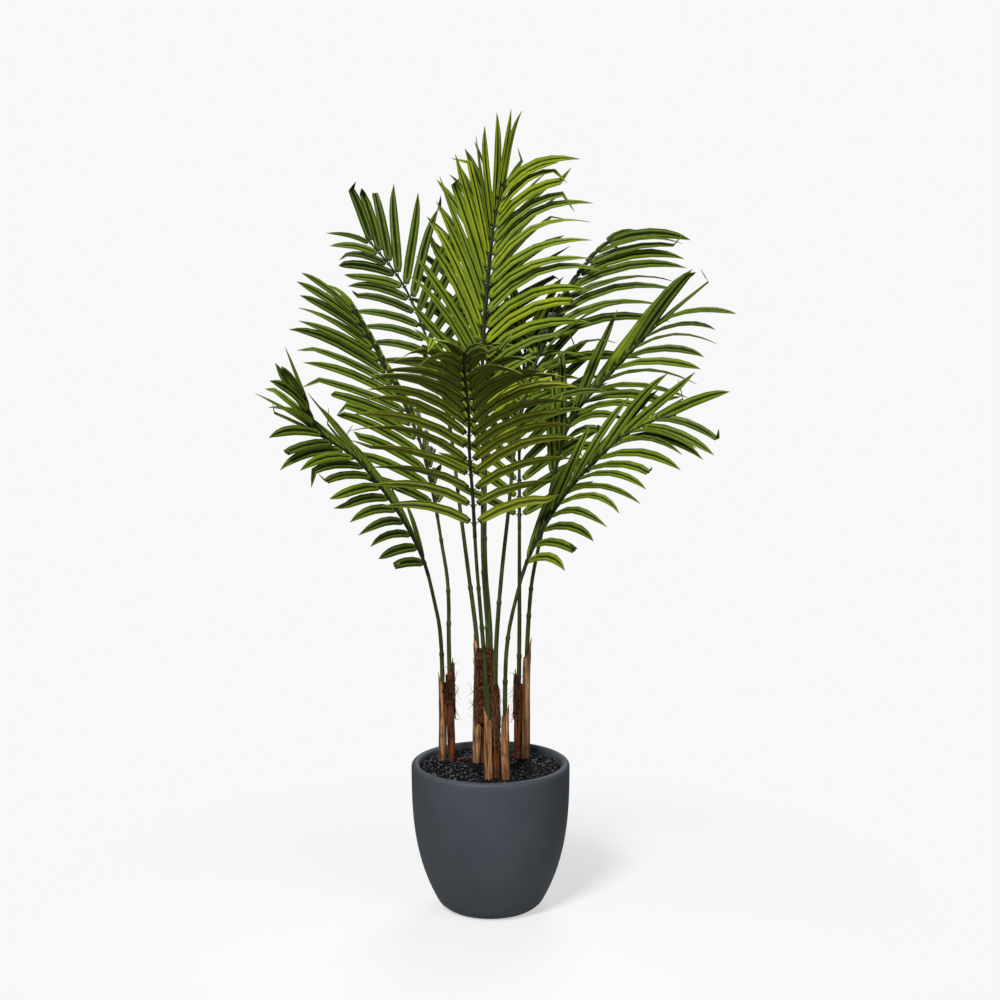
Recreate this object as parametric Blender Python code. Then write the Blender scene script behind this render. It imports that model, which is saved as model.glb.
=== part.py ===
"""A potted palm: a round planter filled with gravel, four trunks of leaf boots, ten feather fronds on canes.

Metres, +Z up. The origin is the centre of the pot's underside, and -Y is the side that the palm shows best.
"""

import math
import random

import bmesh
import bpy
from mathutils import Matrix, Vector
from mathutils.bvhtree import BVHTree

# Pot
POT_HEIGHT = 0.226
POT_RADIUS = 0.120
POT_FOOT_RADIUS = 0.0615
POT_FOOT_ROUND = 0.0140
POT_TAPER = 0.39
POT_FULLNESS = 3.0
POT_WALL = 0.0125
POT_FLOOR = 0.015
POT_SIDES = 36

# Gravel
GRAVEL_BELOW_LIP = 0.010
GRAVEL_MOUND = 0.002
SOCKET_DEPTH = 0.030
SOCKET_OVERCUT = 0.020
BED_WALL_GAP = 0.00075
BED_EDGE_DROP = 0.003
BED_EDGE_WIDTH = 0.004

# The palm: how far a guide share of 1 reaches across, and how high above the gravel it stands
REACH = 0.40
RISE = 1.00

# Boots: the brown leaf sheaths round the foot of each cane
BOOT_WALL = 0.0012
BOOT_PLAY = 0.0006
BOOT_NARROWING = 0.05
BOOT_SIDES = 8
WRAP_WALL = 0.0012
WRAP_STEPS = 8
WRAP_PEAK = 0.008

# Canes and fronds
CANE_RADIUS = 0.0040
CANE_TIP_RADIUS = 0.0026
CANE_SIDES = 6
CANE_STEP = 0.05
FROND_LENGTH = 0.335
MIDRIB_WIDTH = 0.0042
MIDRIB_TIP_WIDTH = 0.0020
PAIRS = 14
FIRST_PAIR = 0.6
BARE_TIP = 0.5
PAIR_CROWDING = 0.88
PEG_LENGTH = 0.0030
LEAFLET_LENGTH = 0.170
LEAFLET_SHORTEST = 0.58
LEAFLET_SWELL = (0.12, 0.95)
LEAFLET_ANGLE_LOW = math.radians(57)
LEAFLET_ANGLE_TIP = math.radians(20)
LEAFLET_VARIES = 0.06
LEAFLET_WIDTH = 0.0128
LEAFLET_THICKNESS = 0.0013
LEAFLET_TIP = 0.0014
LEAFLET_CLEARANCE = 0.0006
LEAFLET_SECTIONS = ((0.32, 1.0), (0.38, 0.85), (0.30, 0.0))

# What is tried in turn for a leaflet that meets another: shares of its length, and degrees of extra lift
TRIAL_LENGTHS = (1.0, 0.85, 0.7, 0.5, 0.3, 0.15)
TRIAL_TURNS = (0, 8, -8, 16, -16, 25, -25, 35, -35, 50, -50)

# Loose flake on the gravel
FLAKE_LENGTH = 0.030
FLAKE_WIDTH = 0.010
FLAKE_THICKNESS = 0.0015
FLAKE_ARCH = 0.004
FLAKE_BLUNT = 0.06
FLAKE_PLACE = Vector((-0.022, 0.006))

GAP = 0.0003
GRAVEL_TOP = POT_HEIGHT - GRAVEL_BELOW_LIP
BOOT_RADIUS = (CANE_RADIUS + BOOT_PLAY + BOOT_WALL) / (1 - BOOT_NARROWING)
BOOT_PITCH = 2 * (BOOT_RADIUS + GAP)

# Where each trunk stands on the gravel
TRUNKS = {
    "left": Vector((-0.067, 0.034)),
    "back": Vector((-0.016, 0.021)),
    "front": Vector((0.010, -0.062)),
    "right": Vector((0.048, 0.048)),
}

TAN = (0.34, 0.17, 0.07)
RUSSET = (0.13, 0.035, 0.015)


class Row:
    """One of a frond's two rows of leaflets.

    lift is how far the row rises above the frond's plane in degrees, spread widens or narrows its angle to the
    midrib, droop is how strongly its leaflets hang, and size is their length as a share of the usual one.
    roll is how far each blade is turned round its own length in degrees, as slats are.
    """

    def __init__(self, lift, spread, droop, size=1.0, roll=20):
        self.lift = math.radians(lift)
        self.spread = spread
        self.droop = droop
        self.size = size
        self.roll = math.radians(roll)


class Leaf:
    """One palm leaf: its trunk, its slot there in boot pitches, the shares its cane passes through, its frond.

    face is the way the frond's upper side looks, and rows are its two rows: first the one on the right of
    somebody who looks at that upper side with the tip up.
    """

    def __init__(self, name, trunk, slot, boot, guides, face, rows, size=1.0, colour=TAN):
        self.name = name
        self.foot = TRUNKS[trunk] + Vector(slot) * BOOT_PITCH
        self.trunk = trunk
        self.boot_height = boot
        self.guides = guides
        self.face = Vector(face).normalized()
        self.rows = rows
        self.length = size * FROND_LENGTH
        self.pairs = round(size * PAIRS)
        self.boot_colour = colour

    def path(self):
        """The cane's and midrib's centre line, from the bottom of its socket to the tip of the frond."""
        foot = self.foot.to_3d()
        points = [foot + Vector((0, 0, GRAVEL_TOP - SOCKET_DEPTH + GAP)), foot + Vector((0, 0, GRAVEL_TOP))]
        for across, along, up in self.guides:
            points.append(Vector((across * REACH, along * REACH, GRAVEL_TOP + up * RISE)))
        return Path(points)


class Path:
    """A smooth line through points, read by the distance along it."""

    STEPS = 12

    def __init__(self, points):
        ends = [2 * points[0] - points[1], *points, 2 * points[-1] - points[-2]]
        self.line = [points[0]]
        for a, b, c, d in zip(ends, ends[1:], ends[2:], ends[3:]):
            for step in range(1, self.STEPS + 1):
                self.line.append(self.between(a, b, c, d, step / self.STEPS))
        self.along = [0.0]
        for here, there in zip(self.line, self.line[1:]):
            self.along.append(self.along[-1] + (there - here).length)
        self.length = self.along[-1]

    @staticmethod
    def between(a, b, c, d, t):
        """The point a share t of the way from b to c, on the cubic that also heeds a and d."""
        knots = [0.0]
        for here, there in ((a, b), (b, c), (c, d)):
            knots.append(knots[-1] + math.sqrt((there - here).length))
        t = knots[1] + t * (knots[2] - knots[1])

        def mix(p, q, start, end):
            return (p * (end - t) + q * (t - start)) / (end - start)

        ab = mix(a, b, knots[0], knots[1])
        bc = mix(b, c, knots[1], knots[2])
        cd = mix(c, d, knots[2], knots[3])
        return mix(mix(ab, bc, knots[0], knots[2]), mix(bc, cd, knots[1], knots[3]), knots[1], knots[2])

    def at(self, distance):
        distance = min(max(distance, 0.0), self.length)
        for i, reached in enumerate(self.along[1:]):
            if reached >= distance:
                share = (distance - self.along[i]) / (reached - self.along[i])
                return self.line[i].lerp(self.line[i + 1], share)
        return self.line[-1].copy()

    def direction(self, distance):
        reach = 0.004
        return (self.at(distance + reach) - self.at(distance - reach)).normalized()


def clear_scene():
    for thing in list(bpy.data.objects):
        bpy.data.objects.remove(thing, do_unlink=True)


def material(name, colour, roughness):
    made = bpy.data.materials.new(name)
    made.use_nodes = True
    shader = made.node_tree.nodes["Principled BSDF"]
    shader.inputs["Base Color"].default_value = (*colour, 1.0)
    shader.inputs["Roughness"].default_value = roughness
    shader.inputs["Metallic"].default_value = 0.0
    return made


def keep(name, mesh, finish, smooth_below=40):
    """Turns a finished mesh into an object of its own, shaded smooth except over its hard edges."""
    mesh.normal_update()
    data = bpy.data.meshes.new(name)
    mesh.to_mesh(data)
    mesh.free()
    data.shade_smooth()
    data.set_sharp_from_angle(angle=math.radians(smooth_below))
    data.materials.append(finish)
    thing = bpy.data.objects.new(name, data)
    bpy.context.scene.collection.objects.link(thing)
    return thing


class Thicket:
    """Everything that already stands, so that a new leaflet can be bent clear of it."""

    def __init__(self):
        self.standing = []

    def add(self, mesh, owner=""):
        corners = [v.co for v in mesh.verts]
        low = [min(c[k] for c in corners) for k in range(3)]
        high = [max(c[k] for c in corners) for k in range(3)]
        self.standing.append((low, high, BVHTree.FromBMesh(mesh), owner))

    def blocks(self, mesh, owner):
        corners = [v.co for v in mesh.verts]
        low = [min(c[k] for c in corners) for k in range(3)]
        high = [max(c[k] for c in corners) for k in range(3)]
        tree = BVHTree.FromBMesh(mesh)
        for other_low, other_high, other, of in self.standing:
            apart = any(low[k] > other_high[k] or other_low[k] > high[k] for k in range(3))
            if not apart and of != owner and tree.overlap(other):
                return True
        return False


def join_rings(mesh, lower, upper):
    count = len(lower)
    for i in range(count):
        j = (i + 1) % count
        mesh.faces.new((lower[i], lower[j], upper[j], upper[i]))


def turned(outline, sides):
    """A closed solid turned round Z from an outline of (radius, height) that starts and ends on the axis."""
    mesh = bmesh.new()
    rings = []
    for radius, height in outline[1:-1]:
        angles = [2 * math.pi * i / sides for i in range(sides)]
        rings.append([mesh.verts.new((radius * math.cos(a), radius * math.sin(a), height)) for a in angles])
    for lower, upper in zip(rings, rings[1:]):
        join_rings(mesh, lower, upper)
    for ring, height, flip in ((rings[0], outline[0][1], False), (rings[-1], outline[-1][1], True)):
        middle = mesh.verts.new((0, 0, height))
        for i in range(sides):
            a, b = ring[i], ring[(i + 1) % sides]
            mesh.faces.new((middle, a, b) if flip else (middle, b, a))
    return mesh


def pot_side(height):
    """The pot's outer radius at a height: a rounded foot, a full belly, then nearly upright up to the lip."""
    share = height / POT_HEIGHT
    belly = POT_RADIUS * (1 - POT_TAPER * (1 - share) ** POT_FULLNESS)
    if height >= POT_FOOT_ROUND:
        return belly
    foot = math.sqrt(1 - (1 - height / POT_FOOT_ROUND) ** 2)
    return POT_FOOT_RADIUS + (belly - POT_FOOT_RADIUS) * foot


def pot():
    """The planter: curved outside, rounded lip, straight-falling inside wall and a thick floor."""
    lip = POT_WALL / 2
    outline = [(0, 0)]
    for share in (0, 0.008, 0.03, 0.062, 0.14, 0.26, 0.42, 0.64):
        outline.append((pot_side(POT_HEIGHT * share), POT_HEIGHT * share))
    outline.append((pot_side(POT_HEIGHT - lip), POT_HEIGHT - lip))
    for degrees in (40, 90, 140):
        turn = math.radians(degrees)
        outline.append((POT_RADIUS - lip + lip * math.cos(turn), POT_HEIGHT - lip + lip * math.sin(turn)))
    for share in (0.97, 0.70, 0.42, 0.20):
        height = POT_HEIGHT * share
        outline.append((pot_side(height) - POT_WALL, height))
    outline.append((pot_side(POT_FLOOR) - POT_WALL - POT_FOOT_ROUND / 2, POT_FLOOR))
    outline.append((0, POT_FLOOR))
    keep("pot", turned(outline, POT_SIDES), material("slate_grey_pot", (0.045, 0.058, 0.070), 0.62))


def socket_cutter(leaf):
    """A round plug that cuts the hole in the gravel where a boot stands."""
    height = SOCKET_DEPTH + SOCKET_OVERCUT
    radius = (BOOT_RADIUS + GAP) / math.cos(math.pi / BOOT_SIDES)
    bpy.ops.mesh.primitive_cylinder_add(vertices=BOOT_SIDES, radius=radius, depth=height)
    cutter = bpy.context.object
    cutter.name = "socket_" + leaf.name
    cutter.location = (leaf.foot.x, leaf.foot.y, GRAVEL_TOP - SOCKET_DEPTH + height / 2)
    cutter.hide_render = True
    cutter.display_type = "WIRE"
    return cutter


def gravel(leaves):
    """The gravel fills the pot from its floor, follows the wall with a small gap, and is mounded on top."""
    outline = [(0, POT_FLOOR + GAP)]
    foot = pot_side(POT_FLOOR) - POT_WALL - POT_FOOT_ROUND / 2
    outline.append((foot - 3 * BED_WALL_GAP, POT_FLOOR + GAP))
    for share in (0.20, 0.42, 0.70):
        height = POT_HEIGHT * share
        outline.append((pot_side(height) - POT_WALL - BED_WALL_GAP, height))
    rim = pot_side(GRAVEL_TOP) - POT_WALL - BED_WALL_GAP
    outline.append((rim, GRAVEL_TOP - BED_EDGE_DROP))
    outline.append((rim - BED_EDGE_WIDTH, GRAVEL_TOP))
    outline.append((rim * 0.6, GRAVEL_TOP + GRAVEL_MOUND / 2))
    outline.append((0, GRAVEL_TOP + GRAVEL_MOUND))
    bed = keep("gravel", turned(outline, POT_SIDES), material("black_gravel", (0.012, 0.013, 0.015), 0.85))
    for leaf in leaves:
        cut = bed.modifiers.new("socket_" + leaf.name, "BOOLEAN")
        cut.operation = "DIFFERENCE"
        cut.object = socket_cutter(leaf)


def round_ring(mesh, path, distance, radius, sides):
    """A ring of points square to a path at a distance along it, the first one towards +X."""
    centre, along = path.at(distance), path.direction(distance)
    start = Vector((1, 0, 0))
    first = (start - start.project(along)).normalized()
    second = along.cross(first)
    ring = []
    for i in range(sides):
        turn = 2 * math.pi * i / sides
        ring.append(mesh.verts.new(centre + radius * (math.cos(turn) * first + math.sin(turn) * second)))
    return ring


def spaced(start, end, step):
    count = max(2, math.ceil((end - start) / step))
    return [start + (end - start) * i / count for i in range(count + 1)]


def boot_stations(leaf):
    """Where the boot has its rings. The cane has rings there too, so that the two bend alike."""
    return spaced(0.0, SOCKET_DEPTH + leaf.boot_height, CANE_STEP)


def cane(leaf, path, finish, thicket):
    """The green stalk, from the floor of its socket up to the frond, a little thinner towards the top."""
    mesh = bmesh.new()
    end = path.length - leaf.length - GAP
    rings = []
    in_boot = boot_stations(leaf)
    for distance in in_boot + spaced(in_boot[-1], end, CANE_STEP)[1:]:
        radius = CANE_RADIUS + (CANE_TIP_RADIUS - CANE_RADIUS) * distance / end
        rings.append(round_ring(mesh, path, distance, radius, CANE_SIDES))
    for lower, upper in zip(rings, rings[1:]):
        join_rings(mesh, lower, upper)
    mesh.faces.new(reversed(rings[0]))
    mesh.faces.new(rings[-1])
    thicket.add(mesh)
    keep("cane_" + leaf.name, mesh, finish)


def boot(leaf, path, thicket):
    """The brown sheath round the cane's foot: a thin tube that stands in its socket and narrows upwards."""
    mesh = bmesh.new()
    stations = boot_stations(leaf)
    outer, inner = [], []
    for distance in stations:
        outside = BOOT_RADIUS * (1 - BOOT_NARROWING * distance / stations[-1])
        outer.append(round_ring(mesh, path, distance, outside, BOOT_SIDES))
        inner.append(round_ring(mesh, path, distance, outside - BOOT_WALL, BOOT_SIDES))
    for lower, upper in zip(outer, outer[1:]):
        join_rings(mesh, lower, upper)
    for lower, upper in zip(inner, inner[1:]):
        join_rings(mesh, upper, lower)
    join_rings(mesh, inner[0], outer[0])
    join_rings(mesh, outer[-1], inner[-1])
    thicket.add(mesh)
    keep("boot_" + leaf.name, mesh, material("sheath_" + leaf.name, leaf.boot_colour, 0.8))


def hull_point(circles, turn, grow):
    """The outermost point of a group of equal circles in one direction, grown outwards."""
    out = Vector((math.cos(turn), math.sin(turn), 0))
    best = max(circles, key=lambda centre: centre.dot(out))
    return best + out * (BOOT_RADIUS + grow)


def wrap(trunk, paths, facing, half_width, low, high):
    """The mat of dark fibre that lies on one side of a trunk's boots: a curved sheet with a peak in its top edge.

    facing is the way that its middle looks and half_width how far it reaches to each side, in degrees from +X;
    low and high are heights above the gravel.
    """
    mesh = bmesh.new()
    shares = [2 * i / WRAP_STEPS - 1 for i in range(WRAP_STEPS + 1)]
    heights = spaced(low, high, CANE_STEP)
    rings = []
    for height in heights:
        circles = [path.at(SOCKET_DEPTH + height) for path in paths]
        level = sum(circle.z for circle in circles) / len(circles)
        peak = WRAP_PEAK if height == heights[-1] else 0.0
        sheet = []
        for side, grow in ((1, 2 * GAP + WRAP_WALL), (-1, 2 * GAP)):
            for share in shares[::side]:
                point = hull_point(circles, math.radians(facing + half_width * share), grow)
                sheet.append(mesh.verts.new((point.x, point.y, level + peak * (1 - abs(share)))))
        rings.append(sheet)
    for lower, upper in zip(rings, rings[1:]):
        join_rings(mesh, lower, upper)
    for ring, turned_over in ((rings[0], True), (rings[-1], False)):
        for i in range(WRAP_STEPS):
            face = (ring[i], ring[i + 1], ring[-2 - i], ring[-1 - i])
            mesh.faces.new(reversed(face) if turned_over else face)
    keep("fibre_wrap_" + trunk, mesh, material("fibre_" + trunk, (0.07, 0.028, 0.014), 0.95))


def leaflet_length(share):
    """How long a leaflet is at a share of the way up the frond, as a share of the longest."""
    start, end = LEAFLET_SWELL
    swell = math.sin(math.pi * (start + (end - start) * share))
    return LEAFLET_SHORTEST + (1 - LEAFLET_SHORTEST) * swell


def leaflet_angle(share):
    """The angle between a leaflet and the midrib: wide at the bottom of the frond, narrow at its tip."""
    return LEAFLET_ANGLE_LOW + (LEAFLET_ANGLE_TIP - LEAFLET_ANGLE_LOW) * share


def leaflet_sections(root, row, length, angle, lift, grow=0.0):
    """The corners of a leaflet's three sections, each further out and more bent down than the one before.

    The blade is rolled a little round its own length, as slats are, so that it passes its neighbours.
    """
    along, up = root["along"], root["up"]
    across = root["side"] * math.cos(lift) + up * math.sin(lift)
    heading = along * math.cos(angle) + across * math.sin(angle)
    width_way = (along - along.project(heading)).normalized()
    roll = row.roll if heading.cross(width_way).dot(up) < 0 else -row.roll
    width_way = Matrix.Rotation(roll, 3, heading) @ width_way
    centre = root["start"].copy()
    thick = LEAFLET_THICKNESS / 2 + grow
    sections = []
    for reach, wide in LEAFLET_SECTIONS:
        centre = centre + heading * length * reach
        width_way = (width_way - width_way.project(heading)).normalized()
        normal = heading.cross(width_way)
        if normal.dot(up) < 0:
            normal = -normal
        half = max(LEAFLET_WIDTH * wide, LEAFLET_TIP) / 2 + grow
        corners = ((-half, thick), (half, thick), (half, -thick), (-half, -thick))
        sections.append([centre + width_way * w + normal * t for w, t in corners])
        heading = (heading + Vector((0, 0, -row.droop))).normalized()
    return sections


def join_sections(mesh, ring, sections):
    for section in sections:
        following = [mesh.verts.new(corner) for corner in section]
        join_rings(mesh, ring, following)
        ring = following
    mesh.faces.new(ring)


def trial(ring, root, sections):
    """A leaflet on its own, from just outside the midrib, slightly grown: the space that it needs."""
    mesh = bmesh.new()
    near = []
    for corner in ring:
        outwards = (corner.co - root["start"]).normalized() + root["side"]
        near.append(mesh.verts.new(corner.co + outwards * LEAFLET_CLEARANCE))
    mesh.faces.new(reversed(near))
    join_sections(mesh, near, sections)
    return mesh


def leaflet(mesh, ring, root, leaf, row, share, thicket, dice):
    """One leaflet grown out of four points on the midrib's side, lifted or shortened until its way is clear."""
    varied = 1 + dice.uniform(-LEAFLET_VARIES, LEAFLET_VARIES)
    full = row.size * LEAFLET_LENGTH * leaflet_length(share) * varied
    angle = leaflet_angle(share) * row.spread
    for shorter in TRIAL_LENGTHS:
        for turn in TRIAL_TURNS:
            shape = (root, row, full * shorter, angle, row.lift + math.radians(turn))
            space = trial(ring, root, leaflet_sections(*shape, LEAFLET_CLEARANCE))
            if not thicket.blocks(space, leaf.name):
                thicket.add(space)
                join_sections(mesh, ring, leaflet_sections(*shape))
                return
    mesh.faces.new(ring)


def rib_ring(leaf, path, distance, share):
    """The midrib's square section at a distance along the path, with the directions its leaflets need."""
    centre, along = path.at(distance), path.direction(distance)
    up = (leaf.face - leaf.face.project(along)).normalized()
    side = along.cross(up)
    half = (MIDRIB_WIDTH + (MIDRIB_TIP_WIDTH - MIDRIB_WIDTH) * share) / 2
    signs = ((-1, -1), (1, -1), (1, 1), (-1, 1))
    corners = [centre + side * half * s + up * half * u for s, u in signs]
    return {"centre": centre, "along": along, "up": up, "side": side, "half": half, "corners": corners}


def midrib(leaf, path):
    """The midrib's sections: one at each end, and two close together where each pair of leaflets grows."""
    start = path.length - leaf.length
    places = [start]
    for pair in range(leaf.pairs):
        peg = start + leaf.length * ((pair + FIRST_PAIR) / (leaf.pairs + BARE_TIP)) ** PAIR_CROWDING
        places += [peg, peg + PEG_LENGTH]
    places.append(path.length)
    return [rib_ring(leaf, path, place, (place - start) / leaf.length) for place in places]


def stand_midrib(leaf, path, thicket):
    """Adds the bare midrib to what stands, so that no other leaf grows through it."""
    mesh = bmesh.new()
    rings = midrib(leaf, path)
    rings = [[mesh.verts.new(corner) for corner in ring["corners"]] for ring in rings]
    for lower, upper in zip(rings, rings[1:]):
        join_rings(mesh, lower, upper)
    thicket.add(mesh, owner=leaf.name)
    mesh.free()


def frond(leaf, path, finish, thicket, dice):
    """The midrib with its two rows of leaflets, one solid: each leaflet grows out of a stretch of the midrib."""
    mesh = bmesh.new()
    sections = midrib(leaf, path)
    rings = [[mesh.verts.new(corner) for corner in section["corners"]] for section in sections]
    for i, (low, high) in enumerate(zip(rings, rings[1:])):
        bears_leaflets = i % 2 == 1
        for edge in range(4):
            after = (edge + 1) % 4
            if not (bears_leaflets and edge in (1, 3)):
                mesh.faces.new((low[edge], low[after], high[after], high[edge]))
        if not bears_leaflets:
            continue
        here, there = sections[i], sections[i + 1]
        middle = (here["centre"] + there["centre"]) / 2
        right, left = (low[2], high[2], high[1], low[1]), (low[3], high[3], high[0], low[0])
        for way, ring, row in ((1, right, leaf.rows[0]), (-1, left, leaf.rows[1])):
            side = here["side"] * way
            root = {**here, "start": middle + side * here["half"], "side": side}
            leaflet(mesh, ring, root, leaf, row, (i // 2) / (leaf.pairs - 1), thicket, dice)
    mesh.faces.new(reversed(rings[0]))
    mesh.faces.new(rings[-1])
    bmesh.ops.recalc_face_normals(mesh, faces=mesh.faces)
    keep("frond_" + leaf.name, mesh, finish)


def flake():
    """A loose scrap of sheath that lies on the gravel, pointed at both ends and slightly arched."""
    mesh = bmesh.new()
    rings = []
    for share in (0.0, 0.25, 0.55, 0.85, 1.0):
        wide = math.sin(math.pi * (FLAKE_BLUNT + (1 - 2 * FLAKE_BLUNT) * share)) * FLAKE_WIDTH / 2
        along = (share - 0.5) * FLAKE_LENGTH
        lift = FLAKE_ARCH * (1 - (2 * share - 1) ** 2)
        low, high = lift, lift + FLAKE_THICKNESS
        section = ((-wide, low), (wide, low), (wide, high), (-wide, high))
        rings.append([mesh.verts.new((along, y, z)) for y, z in section])
    for lower, upper in zip(rings, rings[1:]):
        join_rings(mesh, lower, upper)
    mesh.faces.new(reversed(rings[0]))
    mesh.faces.new(rings[-1])
    bmesh.ops.recalc_face_normals(mesh, faces=mesh.faces)
    place = TRUNKS["back"] + FLAKE_PLACE
    height = GRAVEL_TOP + GRAVEL_MOUND + GAP
    mesh.transform(Matrix.Translation((place.x, place.y, height)) @ Matrix.Rotation(math.radians(12), 4, "Z"))
    keep("loose_flake", mesh, material("dry_flake", (0.16, 0.05, 0.02), 0.8))


def palm_leaves():
    """The ten leaves, each with the shares its cane and midrib pass through: across, along and up."""
    return [
        Leaf("front", "front", (-1.0, -0.1), 0.105,
             [(-0.01, -0.17, 0.11), (-0.03, -0.19, 0.23), (-0.05, -0.25, 0.34), (-0.06, -0.33, 0.43),
              (-0.07, -0.43, 0.50), (-0.07, -0.55, 0.56), (-0.08, -0.69, 0.61), (-0.08, -0.84, 0.65)],
             face=(0.0, 0.70, 0.70),
             rows=(Row(4, 0.92, 0.40, 1.15, -10), Row(4, 0.92, 0.40, 1.15, -10)), size=1.10),
        Leaf("crown", "back", (0.5, 0.0), 0.150,
             [(0.0, 0.06, 0.19), (-0.02, 0.08, 0.31), (-0.02, 0.10, 0.48), (-0.03, 0.11, 0.62),
              (-0.01, 0.11, 0.735), (0.02, 0.10, 0.83), (0.06, 0.09, 0.882)],
             face=(0.0, -0.98, 0.20),
             rows=(Row(12, 0.78, 0.60, 1.18), Row(16, 0.54, 0.26, 1.14)), size=1.25, colour=RUSSET),
        Leaf("right_low", "front", (1.0, -0.1), 0.110,
             [(0.06, -0.18, 0.20), (0.09, -0.20, 0.27), (0.14, -0.23, 0.34), (0.26, -0.29, 0.43),
              (0.36, -0.34, 0.48), (0.46, -0.39, 0.52), (0.56, -0.45, 0.545), (0.64, -0.49, 0.555)],
             face=(-0.35, -0.15, 0.92),
             rows=(Row(-18, 0.80, 0.42), Row(10, 0.36, 0.14, 0.92)), size=1.05),
        Leaf("left_low", "left", (-0.5, -0.05), 0.135,
             [(-0.19, 0.06, 0.20), (-0.21, 0.04, 0.25), (-0.25, -0.01, 0.32), (-0.34, -0.11, 0.40),
              (-0.47, -0.24, 0.48), (-0.60, -0.35, 0.53), (-0.65, -0.41, 0.59)],
             face=(0.30, -0.25, 0.92),
             rows=(Row(4, 0.62, 0.14, 0.82), Row(-40, 0.80, 0.30, 0.75)), size=1.15),
        Leaf("right_mid", "right", (0.5, -0.1), 0.185,
             [(0.14, 0.11, 0.18), (0.16, 0.09, 0.29), (0.19, 0.06, 0.35), (0.24, 0.02, 0.45),
              (0.30, -0.01, 0.53), (0.44, -0.05, 0.60), (0.60, -0.11, 0.67), (0.66, -0.12, 0.69)],
             face=(-0.55, -0.25, 0.80),
             rows=(Row(-15, 0.80, 0.42), Row(12, 0.34, 0.12))),
        Leaf("left_mid", "left", (0.5, 0.05), 0.155,
             [(-0.16, 0.09, 0.22), (-0.16, 0.09, 0.27), (-0.19, 0.10, 0.35), (-0.21, 0.10, 0.40),
              (-0.27, 0.09, 0.50), (-0.34, 0.07, 0.565), (-0.45, 0.02, 0.655), (-0.51, -0.01, 0.70)],
             face=(0.25, -0.90, 0.35),
             rows=(Row(-55, 1.00, 0.55, 0.65), Row(0, 0.82, 0.20)), size=1.05, colour=RUSSET),
        Leaf("right_high", "front", (0.0, 0.2), 0.146,
             [(0.02, -0.14, 0.18), (0.04, -0.12, 0.30), (0.07, -0.08, 0.41), (0.09, -0.03, 0.49),
              (0.15, 0.03, 0.59), (0.25, 0.09, 0.69), (0.36, 0.11, 0.76), (0.46, 0.11, 0.80)],
             face=(-0.25, -0.90, 0.35),
             rows=(Row(-8, 0.85, 0.42, 1.15), Row(-55, 1.00, 0.55, 0.65)), size=1.10, colour=RUSSET),
        Leaf("left_high", "back", (-0.5, 0.0), 0.195,
             [(-0.05, 0.06, 0.18), (-0.08, 0.10, 0.28), (-0.12, 0.15, 0.40), (-0.16, 0.21, 0.52),
              (-0.24, 0.26, 0.64), (-0.34, 0.29, 0.73), (-0.48, 0.30, 0.80)],
             face=(0.20, -0.93, 0.30),
             rows=(Row(-5, 1.15, 0.15), Row(-8, 0.95, 0.35, 0.65))),
        Leaf("back_right", "right", (-0.5, 0.1), 0.135,
             [(0.11, 0.13, 0.19), (0.11, 0.17, 0.31), (0.11, 0.19, 0.40), (0.11, 0.22, 0.48),
              (0.12, 0.25, 0.57), (0.14, 0.27, 0.66)],
             face=(0.0, -0.95, 0.30),
             rows=(Row(8, 0.95, 0.20), Row(8, 0.95, 0.20)), size=0.92, colour=RUSSET),
        Leaf("back", "back", (0.0, 0.95), 0.140,
             [(-0.01, 0.11, 0.17), (-0.03, 0.19, 0.31), (-0.03, 0.29, 0.46), (-0.03, 0.39, 0.62),
              (-0.01, 0.44, 0.72), (0.02, 0.48, 0.85)],
             face=(0.0, -0.60, 0.80),
             rows=(Row(10, 0.80, 0.35), Row(10, 0.80, 0.35)), colour=RUSSET),
    ]


# The fibre mats: the leaves whose boots each lies on, its facing and half width, its lowest and highest edge
WRAPS = {
    "left": (("left_low", "left_mid"), 10, 95, 0.072, 0.142),
    "back": (("left_high", "crown"), 285, 70, 0.060, 0.175),
    "front": (("right_high",), 270, 40, 0.050, 0.134),
    "right": (("back_right",), 200, 78, 0.068, 0.122),
}


def main():
    clear_scene()
    dice = random.Random(4)
    leaves = palm_leaves()
    paths = {leaf.name: leaf.path() for leaf in leaves}
    pot()
    gravel(leaves)
    flake()
    cane_green = material("cane_green", (0.045, 0.075, 0.022), 0.5)
    leaf_green = material("leaf_green", (0.09, 0.16, 0.015), 0.5)
    thicket = Thicket()
    for leaf in leaves:
        boot(leaf, paths[leaf.name], thicket)
        cane(leaf, paths[leaf.name], cane_green, thicket)
        stand_midrib(leaf, paths[leaf.name], thicket)
    for leaf in leaves:
        frond(leaf, paths[leaf.name], leaf_green, thicket, dice)
    for trunk, (names, facing, half_width, low, high) in WRAPS.items():
        wrap(trunk, [paths[name] for name in names], facing, half_width, low, high)


main()
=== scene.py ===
"""The looks of a potted palm, built round its CAD frame.

Every cane, midrib and leaflet follows the line of its CAD solid, so the palm keeps the frame's shape
and size.
"""

import math
import random

import bmesh
import bpy
from mathutils import Matrix, Vector, noise


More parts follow.
